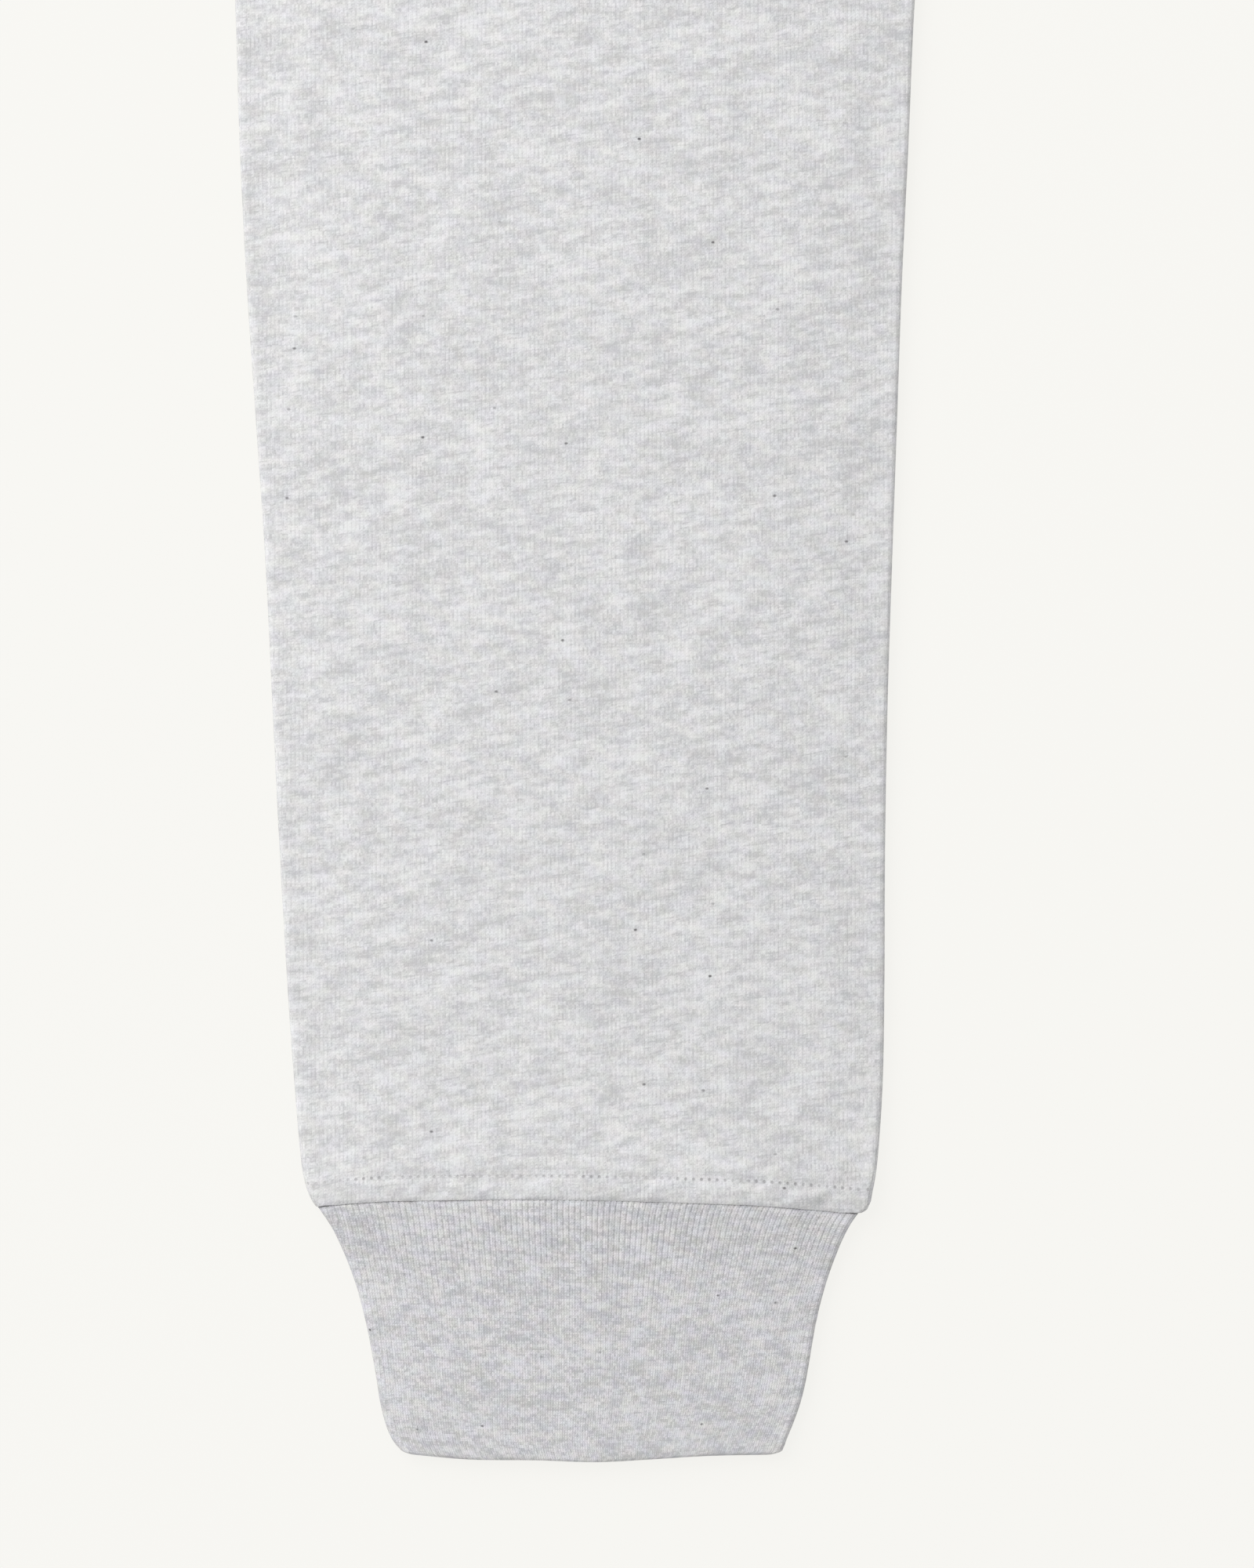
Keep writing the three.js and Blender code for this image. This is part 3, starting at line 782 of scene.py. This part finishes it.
def panel_place(side, front):
    """The function that gives the place of one panel's grid points. A column is a stretch and a share of it."""
    facing = 1 if front else -1

    def place(column, up):
        stretch, share = column
        radius = stack_at(up) / 2
        left = -out_edge(up - max(0, up - row_height(up, -out_edge(up), front)))
        inn_up = up - max(0, up - row_height(up, inn_edge(up), front)) if up < CROTCH_HEIGHT else up
        right = inn_edge(inn_up)
        opened = step(up, CROTCH_HEIGHT - 22, CROTCH_HEIGHT)
        flat = (right - left) - 2 * radius
        if stretch == "flat":
            across = left + radius + share * flat
            height = facing * radius
            if front:
                height += front_lift(across, up, left, right, side) * step(min(share, 1 - share) * flat, -1, 14)
            cloth_across = across
        else:
            seam = OUTSEAM_ANGLE if stretch == "out" else math.radians(inseam_angle(up))
            first = seam + facing * math.asin(STITCHED_GAP / 2 / radius)
            angle = mix(first, facing * math.pi / 2, share)
            open_here = opened if stretch == "inn" else 0
            inset = mix(radius * (1 - fuller(math.cos(angle))), radius * share, open_here)
            height = mix(radius * fuller(math.sin(angle)), facing * radius, open_here)
            across = left + inset if stretch == "out" else right - inset
            turned = radius * (math.pi / 2 - facing * angle)
            cloth_across = left + radius - turned if stretch == "out" else right - radius + turned
        if front:
            height -= CENTRE_SINK * opened * bell(right - across, CENTRE_SINK_WIDTH)
            height *= 1 - WAIST_ROLL * bell(BAND_SEAM_HEIGHT - up, WAIST_ROLL_WIDTH)
        end_share, drawn_in = hem_share(up, front, min(across - left, right - across))
        point = (
            side * (LEG_AXIS - across),
            row_height(up, across, front) + drawn_in - LENGTH / 2,
            radius + height * end_share,
        )
        return point, (side * (LEG_AXIS - cloth_across), up)

    return place


# %% [markdown]
# ## Rows and columns
#
# A garment bends most at its edges and seams. An even grid fine enough for those would waste most of its faces on the
# calm middle of the leg, so the rows lie close at the hem and under the waistband and far apart between, and the
# columns crowd towards both sides. The cloth gets its thickness from a Solidify modifier, inwards from this surface.

# %% The rows and columns of a panel
ARC_ROWS = 8
PANEL_ROWS = table(
    "up pitch",
    (HEM_HEIGHT + HEM_ROUNDING, 1.1),
    (HEM_HEIGHT + 36, 3.2),
    (420, 5),
    (850, 2.8),
    (BAND_SEAM_HEIGHT - 8, 0.8),
    (BAND_SEAM_HEIGHT, 0),
)


def run(start, stop, pitch):
    """Evenly spaced values from start up to but without stop, about pitch apart."""
    count = max(1, round((stop - start) / pitch))
    return [mix(start, stop, i / count) for i in range(count)]


def crowded_ends(count, amount):
    """Shares from 0 to 1 that lie closer together at both ends."""
    return [i / count - amount * math.sin(2 * math.pi * i / count) / (2 * math.pi) for i in range(count + 1)]


def panel_columns(flat_count, roll_count):
    out = [("out", i / roll_count) for i in range(roll_count)]
    flat = [("flat", share) for share in crowded_ends(flat_count, 0.5)]
    inn = [("inn", 1 - i / roll_count) for i in range(1, roll_count + 1)]
    return out + flat + inn


def panel_rows(coarse, front):
    """The heights of a panel's rows: round the lip of the hem, then up the leg. coarse spreads them further."""
    ups, pitches = PANEL_ROWS["up"], PANEL_ROWS["pitch"]
    depth = HEM_ROUNDING + (HEM_LAP if front else 0)
    rows = [ups[0] - depth * math.cos(math.pi / 2 * i / ARC_ROWS) for i in range(ARC_ROWS)]
    for start, stop, pitch in zip(ups, ups[1:], pitches):
        rows += run(start, stop, pitch * coarse)
    return rows + [ups[-1]]


def leg_panel(name, side, front):
    columns = panel_columns(*(FRONT_COLUMNS if front else BACK_COLUMNS))
    rows = panel_rows(1 if front else 2, front)
    piece, bm = cloth_grid(name, columns, rows, panel_place(side, front), fleece)
    finish_mesh(piece, bm, (0, 0, 1 if front else -1))
    wall = piece.modifiers.new("Fleece thickness", "SOLIDIFY")
    wall.thickness = FLEECE * MM
    wall.offset = -1
    print(f"{name}: {len(columns)} columns, {len(rows)} rows")
    return piece


panels = {}
for word, side in (("right", -1), ("left", 1)):
    for face in ("front", "back"):
        name = f"{face}_{word}_leg"
        panels[name] = leg_panel(name, side, face == "front")

# %% [markdown]
# ## Rings of folded cloth
#
# A cuff and a waistband are both a ring of cloth, folded double and pressed flat. The ring's section is a long
# loop with round ends. Round it runs a pattern that is raised in the cloth: ribs on the cuff and gathers on the
# waistband. The rows go down the outside, round the fold, and up the inside, so that the fold is one piece of
# cloth, as it is on the real garment.

# %% A flattened ring
FOLD_STEPS = 8
INSIDE_ROWS = 5


def ring_columns(top_count, roll_count, bottom_count):
    """Columns all the way round, as a stretch and a share of it. The last column meets the first."""
    counts = (("top", top_count), ("right", roll_count), ("bottom", bottom_count), ("left", roll_count))
    columns = [(stretch, i / count) for stretch, count in counts for i in range(count)]
    return columns + [("left", 1.0)]


def ring_place(left, right, half, inset, stretch, share):
    """A point of the flattened ring's section, inset inwards from its outer surface."""
    if stretch == "top":
        return mix(left + half, right - half, share), 2 * half - inset
    if stretch == "bottom":
        return mix(right - half, left + half, share), inset
    turn = math.pi / 2 - math.pi * share if stretch == "right" else -math.pi / 2 - math.pi * share
    centre = right - half if stretch == "right" else left + half
    return centre + (half - inset) * fuller(math.cos(turn)), half + (half - inset) * fuller(math.sin(turn))


def fold_rows(height, wall, outside_count):
    """Rows down the outside, round the fold at the foot and up the inside, as a height and an inset."""
    radius = wall / 2
    outside = [(mix(height, radius, i / outside_count), 0.0) for i in range(outside_count)]
    turns = [math.pi * i / FOLD_STEPS for i in range(FOLD_STEPS + 1)]
    fold = [(radius * (1 - math.sin(turn)), radius * (1 - math.cos(turn))) for turn in turns]
    inside = [(mix(radius, height, i / INSIDE_ROWS), wall) for i in range(1, INSIDE_ROWS + 1)]
    return outside + fold + inside


def close_ring(bm):
    """Joins the two sides of the grid into a ring, and its two open ends into a closed wall."""
    bmesh.ops.remove_doubles(bm, verts=bm.verts[:], dist=1e-7)
    open_edges = [edge for edge in bm.edges if edge.is_boundary]
    bmesh.ops.bridge_loops(bm, edges=open_edges)


# %% [markdown]
# ## The cuffs
#
# In one by one rib, every second column of loops turns its back, so the cloth closes up into fine ribs like a bellows.
# Where the leg seam stretches the cuff the grooves open and cast fine dark lines. Towards the foot the cloth pulls
# together, the grooves close and only a trace of them is left. The ribs fan out towards the seam, less on the outer
# side, where a few of them slide round the edge. The grooves are in the mesh, because their shadows are what shows. The
# rib knit's material adds a painted shadow line along each groove as well.

# %% Ribs
CUFF_WALL = 2.4
RIB_DEPTH = 0.19
RIB_PITCH = 1.72
RIB_STRAIGHTENING = 0.5
RIB_LEAN = 0.1
ROLL_RIBS = 5
STEPS_PER_RIB = 6
CUFF_ROWS = 44
CUFF_CROWN = table("up high", (0, 0.9), (30, 1.3), (60, 2.6), (HEM_HEIGHT, 3.0))
SEAM_SWELL = 0.65
SEAM_SWELL_REACH = 11
CUFF_EDGES = table(
    "up out inn",
    (0, 51.0, 53.2),
    (0.9, 53.0, 55.4),
    (2.4, 54.6, 56.2),
    (5.0, 56.3, 57.1),
    (9.0, 57.8, 58.6),
    (16, 59.4, 60.8),
    (24, 60.6, 62.6),
    (39, 63.4, 65.2),
    (52, 66.8, 68.3),
    (63, 70.8, 71.6),
    (68, 73.0, 73.4),
    (72, 75.1, 75.2),
    (HEM_HEIGHT - SEAM_GAP, 77.2, 77.3),
)
FOLD_LINE = table("across up", (-50, 2.0), (-34, 0.7), (-14, 0.5), (2, 0), (17, 0.7), (34, 1.7), (53, 2.0))
FOLD_FADE = 24
SIDE_OPENING = 0.7
UNEVEN_RIBS = table("share amount width", (0.12, 0.4, 0.12), (0.88, -0.5, 0.18))
RIB_OPENING = table(
    "up depth", (0, 0.03), (24, 0.05), (38, 0.12), (50, 0.31), (60, 0.62), (68, 0.88), (HEM_HEIGHT, 1.0)
)
cuff_out = smooth(CUFF_EDGES, "up", "out")
cuff_inn = smooth(CUFF_EDGES, "up", "inn")
fold_line = smooth(FOLD_LINE, "across", "up")
rib_opening = smooth(RIB_OPENING, "up", "depth")
cuff_crown = smooth(CUFF_CROWN, "up", "high")


def groove(phase):
    """1 at the bottom of a groove and 0 over the crest of a rib, for a phase that counts ribs."""
    return (0.5 + 0.5 * math.cos(2 * math.pi * phase)) ** 2


def rib_slide(stretch, share, up):
    """How many ribs have slid sideways at this height, so that they stand straighter on the outer side."""
    from_out = {"top": share, "right": 1, "bottom": 1 - share, "left": 0}[stretch]
    drawn_in = cuff_out(HEM_HEIGHT - SEAM_GAP) - cuff_out(up)
    slid = RIB_STRAIGHTENING * max(0, 1 - 2 * from_out) + RIB_LEAN * math.sin(math.pi * from_out)
    return slid * drawn_in / RIB_PITCH


def rib_unevenness(share):
    """How much deeper or shallower the grooves are here than in the middle of the front."""
    rows = zip(UNEVEN_RIBS["share"], UNEVEN_RIBS["amount"], UNEVEN_RIBS["width"])
    return sum(amount * bell(share - middle, width) for middle, amount, width in rows)


def cuff_place(side):
    counts = {"top": (0, RIBS), "right": (RIBS, ROLL_RIBS), "bottom": (RIBS + ROLL_RIBS, RIBS)}
    counts["left"] = (2 * RIBS + ROLL_RIBS, ROLL_RIBS)

    def place(column, row):
        stretch, share = column
        up, inset = row
        half = CUFF_WALL + SEAM_GAP / 2 + SEAM_SWELL * bell(HEM_HEIGHT - up, SEAM_SWELL_REACH)
        first, count = counts[stretch]
        rib_count = first + share * count + rib_slide(stretch, share, up)
        left, right = -cuff_out(up), cuff_inn(up)
        edge = min(share, 1 - share) if stretch == "top" else 0
        opened = rib_opening(up) * mix(SIDE_OPENING, 1, step(edge, 0, 0.1))
        if stretch == "top":
            opened *= 1 + rib_unevenness(share) * step(edge, 0, 0.04)
        depth = RIB_DEPTH * opened if inset == 0 else 0
        lift = 0
        if stretch == "top":
            lift = cuff_crown(up) * (1 - (2 * share - 1) ** 2)
        across, z = ring_place(left, right, half, inset + depth * groove(rib_count), stretch, share)
        hem_share = step(up, HEM_HEIGHT - HEM_FADE, HEM_HEIGHT)
        fold_share = 1 - step(up, 0, FOLD_FADE)
        bend = hem_share * (hem_line(across) - HEM_HEIGHT) + fold_share * fold_line(across)
        point = (side * (LEG_AXIS - across), up + bend - LENGTH / 2, z + lift)
        return point, (-side * rib_count * RIB_ON_CLOTH, up)

    return place


def cuff(name, side):
    columns = ring_columns(RIBS * STEPS_PER_RIB, ROLL_RIBS * STEPS_PER_RIB, RIBS * STEPS_PER_RIB)
    top = HEM_HEIGHT - SEAM_GAP
    rows = fold_rows(top, CUFF_WALL, CUFF_ROWS)
    piece, bm = cloth_grid(name, columns, rows, cuff_place(side), rib_knit)
    close_ring(bm)
    finish_mesh(piece, bm, (0, 0, 1))
    print(f"{name}: {len(columns) - 1} columns, {len(rows)} rows")
    return piece


cuffs = {f"cuff_{word}": cuff(f"cuff_{word}", side) for word, side in (("right", -1), ("left", 1))}

# %% [markdown]
# ## The waistband
#
# The waistband is the same fleece, folded over a wide elastic. It is cut as long as the hips and the elastic
# draws it in, so it stands in small upright puffs, none quite like the next.

# %% Waistband
BAND_WALL = 4.2
BAND_HEIGHT = 48 - SEAM_GAP
PUFFS = 48
PUFF_HEIGHT = 1.3
STEPS_PER_PUFF = 8
BAND_ROWS = 24
BAND_ROLL_STEPS = 12
BAND_CUT_LENGTH = 1040
BAND_END_NARROWING = 3.4


def band_place(column, row):
    half = BAND_WALL + SEAM_GAP / 2
    stretch, share = column
    down, inset = row
    above = BAND_HEIGHT - down
    half_width = WAIST_HALF_WIDTH - BAND_END_NARROWING * step(above, BAND_HEIGHT - 6, BAND_HEIGHT) ** 2
    swell = math.sin(math.pi * min(max(above / BAND_HEIGHT, 0.12), 0.88))
    lean = 1.3 * noise.noise(Vector((share * 13, above / 60, 2.0)))
    wave = 0.5 - 0.5 * math.cos(2 * math.pi * (PUFFS * share + lean * math.sin(math.pi * share)))
    uneven = 0.85 + 0.9 * noise.noise(Vector((share * 27, above / 50, 5.0)))
    puff = PUFF_HEIGHT * swell * wave * uneven if stretch == "top" else 0
    if stretch == "bottom":
        puff = -0.6 * PUFF_HEIGHT * swell * wave * uneven
    across, z = ring_place(-half_width, half_width, half, inset - puff, stretch, share)
    dip = waist_dip(across) * (z / (2 * half) if stretch in ("left", "right") else stretch == "top")
    point = (across, BAND_SEAM_HEIGHT + SEAM_GAP + above - dip - LENGTH / 2, z)
    face, turn = BAND_CUT_LENGTH / 2 - math.pi * half, math.pi * half
    before, span = {
        "top": (0, face),
        "right": (face, turn),
        "bottom": (face + turn, face),
        "left": (2 * face + turn, turn),
    }[stretch]
    cloth_across = before + span * share
    return point, (cloth_across, BAND_SEAM_HEIGHT + above)


def waistband():
    columns = ring_columns(PUFFS * STEPS_PER_PUFF, BAND_ROLL_STEPS, PUFFS * STEPS_PER_PUFF)
    rows = fold_rows(BAND_HEIGHT, BAND_WALL, BAND_ROWS)
    piece, bm = cloth_grid("waistband", columns, rows, band_place, fleece)
    close_ring(bm)
    finish_mesh(piece, bm, (0, 0, 1))
    print(f"waistband: {len(columns) - 1} columns, {len(rows)} rows")
    return piece


band = waistband()

# %% [markdown]
# ## Topstitching
#
# A row of stitches holds the seam allowance flat a quarter of an inch above each ankle seam, and another one does
# so under the waistband. Each stitch is a short float of thread between two needle holes. It sinks into the soft
# cloth, so only its back shows. They are many and all alike, so one low ball of few faces is stretched into the
# float and set down again and again, and a whole row is one mesh.

# %% Stitch rows
THREAD_WIDTH = 0.4
FLOAT_LENGTH = 1.6
FLOAT_PROUD = 0.08
HOLE_SHARE = 0.14
ANKLE_ROW_ENDS = (0.03, 0.97)
WAIST_ROW_ENDS = (0.01, 0.995)


def stitch_row(name, path, first, last):
    """Stitches along a path from one place on the cloth to another, each between two of its needle holes."""
    bm = bmesh.new()
    low, high = sorted((first, last))
    holes = range(math.ceil(low / STITCH), math.floor(high / STITCH) - 1)
    for i in holes:
        start, end = path((i + 0.5 + HOLE_SHARE) * STITCH), path((i + 1.5 - HOLE_SHARE) * STITCH)
        middle = (start + end) / 2
        turn = (end - start).to_track_quat("X", "Z").to_matrix().to_4x4()
        turn.translation = middle * MM
        made = bmesh.ops.create_uvsphere(bm, u_segments=8, v_segments=5, radius=0.5 * MM)["verts"]
        bmesh.ops.scale(bm, vec=(FLOAT_LENGTH, THREAD_WIDTH, THREAD_WIDTH), verts=made)
        bmesh.ops.transform(bm, matrix=turn, verts=made)
    for face in bm.faces:
        face.smooth = True
    mesh = bpy.data.meshes.new(name)
    bm.to_mesh(mesh)
    bm.free()
    mesh.materials.append(thread)
    piece = bpy.data.objects.new(name, mesh)
    collection.objects.link(piece)
    print(f"{name}: {len(holes)} stitches")
    return piece


def along_panel(side, front, up, first, last):
    """A path over a panel at one height, by place on the cloth, and the places of two shares of its flat stretch."""
    place = panel_place(side, front)
    ends = [place(("flat", share), up)[1][0] for share in (0, 1)]

    def path(cloth_across):
        share = (cloth_across - ends[0]) / (ends[1] - ends[0])
        sink = FLOAT_PROUD - THREAD_WIDTH / 2
        return Vector(place(("flat", share), up)[0]) + Vector((0, 0, sink if front else -sink))

    return path, mix(*ends, first), mix(*ends, last)


stitches = []
for word, side in (("right", -1), ("left", 1)):
    for face in ("front", "back"):
        front = face == "front"
        ankle = along_panel(side, front, HEM_HEIGHT + TOPSTITCH_RISE, *ANKLE_ROW_ENDS)
        waist = along_panel(side, front, BAND_SEAM_HEIGHT - TOPSTITCH_RISE, *WAIST_ROW_ENDS)
        stitches.append(stitch_row(f"ankle_stitches_{face}_{word}", *ankle))
        stitches.append(stitch_row(f"waist_stitches_{face}_{word}", *waist))

# %% [markdown]
# ## Hanging the pieces on the body
#
# Every piece rides on the one body, because cloth has no joints. The imported solid that each panel, cuff and the
# waistband stands for is hidden. The flat area of a leg panel is worked out and printed. Its cut is not a rectangle, so
# its area is summed over its rows.

# %% Bodies and the panel area
ROLLED_IN = 3


def panel_area():
    """The flat area of one leg panel, in square metres. A little of its width is rolled in at its sides."""
    rows = run(HEM_HEIGHT, BAND_SEAM_HEIGHT, 2)
    pitch = rows[1] - rows[0]
    return sum((out_edge(up) + inn_edge(up) + ROLLED_IN) * pitch for up in rows) * MM * MM


area = panel_area()
print(f"one leg panel is {area:.3f} square metres")
for name, piece in panels.items():
    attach(piece, "root")
    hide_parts(name)
for name, piece in cuffs.items():
    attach(piece, "root")
    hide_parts(name)
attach(band, "root")
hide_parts("waistband")
for piece in stitches:
    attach(piece, "root")

# %% [markdown]
# ## The floor
#
# The garment lies on a plain, warm white floor. In the photograph it has almost no shadow round it. A white floor
# that only reflects would show one, so this floor is dark and glows of its own, like a lightbox. It lies a tenth of
# a millimetre low, clear of the cloth.

# %% Stage
FLOOR_SIZE = 6
FLOOR_DROP = 0.0001
FLOOR_COLOUR = (0.08, 0.0795, 0.0765, 1)
FLOOR_GLOW = (0.93, 0.922, 0.89, 1)
FLOOR_GLOW_STRENGTH = 0.906

floor_mesh = bpy.data.meshes.new("floor")
bm = bmesh.new()
bmesh.ops.create_grid(bm, x_segments=1, y_segments=1, size=FLOOR_SIZE / 2)
bmesh.ops.translate(bm, vec=(0, 0, -FLOOR_DROP), verts=bm.verts[:])
bm.to_mesh(floor_mesh)
bm.free()
floor = bpy.data.objects.new("floor", floor_mesh)
collection.objects.link(floor)
paper, _, paper_shader = new_material("Floor")
paper_shader.inputs["Base Color"].default_value = FLOOR_COLOUR
paper_shader.inputs["Emission Color"].default_value = FLOOR_GLOW
paper_shader.inputs["Emission Strength"].default_value = FLOOR_GLOW_STRENGTH
paper_shader.inputs["Roughness"].default_value = 1.0
paper_shader.inputs["Specular IOR Level"].default_value = 0.0
floor_mesh.materials.append(paper)
print(f"floor {FLOOR_SIZE} metres wide")

# %% [markdown]
# ## The light
#
# Cloth in a catalogue is lit from all round, so that its colour is even. A white sky does most of that here and
# hides every hard shadow. One very soft lamp from the upper left draws out the ribs and the stitch row. A smaller
# lamp would show the knit more strongly, but its shadows would be hard. The plain view transform keeps the pale greys
# as they are set.

# %% Light
SKY_STRENGTH = 0.645
LAMP_POWER = 77.5
LAMP_SIZE = 2.6
LAMP_AT = Vector((-1.8, 1.1, 1.95))
LAMP_AIM = Vector((-0.157, -0.26, 0))

scene = bpy.context.scene
world = bpy.data.worlds.new("Studio")
scene.world = world
world.use_nodes = True
sky = world.node_tree.nodes["Background"]
sky.inputs["Color"].default_value = (1, 1, 1, 1)
sky.inputs["Strength"].default_value = SKY_STRENGTH
lamp_data = bpy.data.lights.new("Soft lamp", "AREA")
lamp_data.energy = LAMP_POWER
lamp_data.size = LAMP_SIZE
lamp = bpy.data.objects.new("Soft lamp", lamp_data)
lamp.location = LAMP_AT
lamp.rotation_mode = "QUATERNION"
lamp.rotation_quaternion = (LAMP_AT - LAMP_AIM).to_track_quat("Z", "Y")
collection.objects.link(lamp)
scene.view_settings.view_transform = "Standard"
scene.view_settings.look = "None"
print(f"sky {SKY_STRENGTH}, lamp {LAMP_POWER} watts")

# %% [markdown]
# ## The camera
#
# The photograph was taken from straight above, so the camera looks straight down. It stands more than a metre away
# with a long lens, which keeps the two edges of the leg parallel. Its distance comes from how many millimetres of
# cloth the picture shows from top to bottom.

# %% Camera
FRAME_HEIGHT = 448
FRAME_MIDDLE = (-145.6, 193.8)
CLOTH_TOP = 5
LENS = 100

camera_data = bpy.data.cameras.new("Camera")
camera_data.lens = LENS
distance = FRAME_HEIGHT * LENS / camera_data.sensor_width
camera = bpy.data.objects.new("Camera", camera_data)
camera.location = Vector((FRAME_MIDDLE[0], FRAME_MIDDLE[1] - LENGTH / 2, CLOTH_TOP + distance)) * MM
collection.objects.link(camera)
scene.camera = camera
print(f"camera {distance:.0f} mm above the cloth")
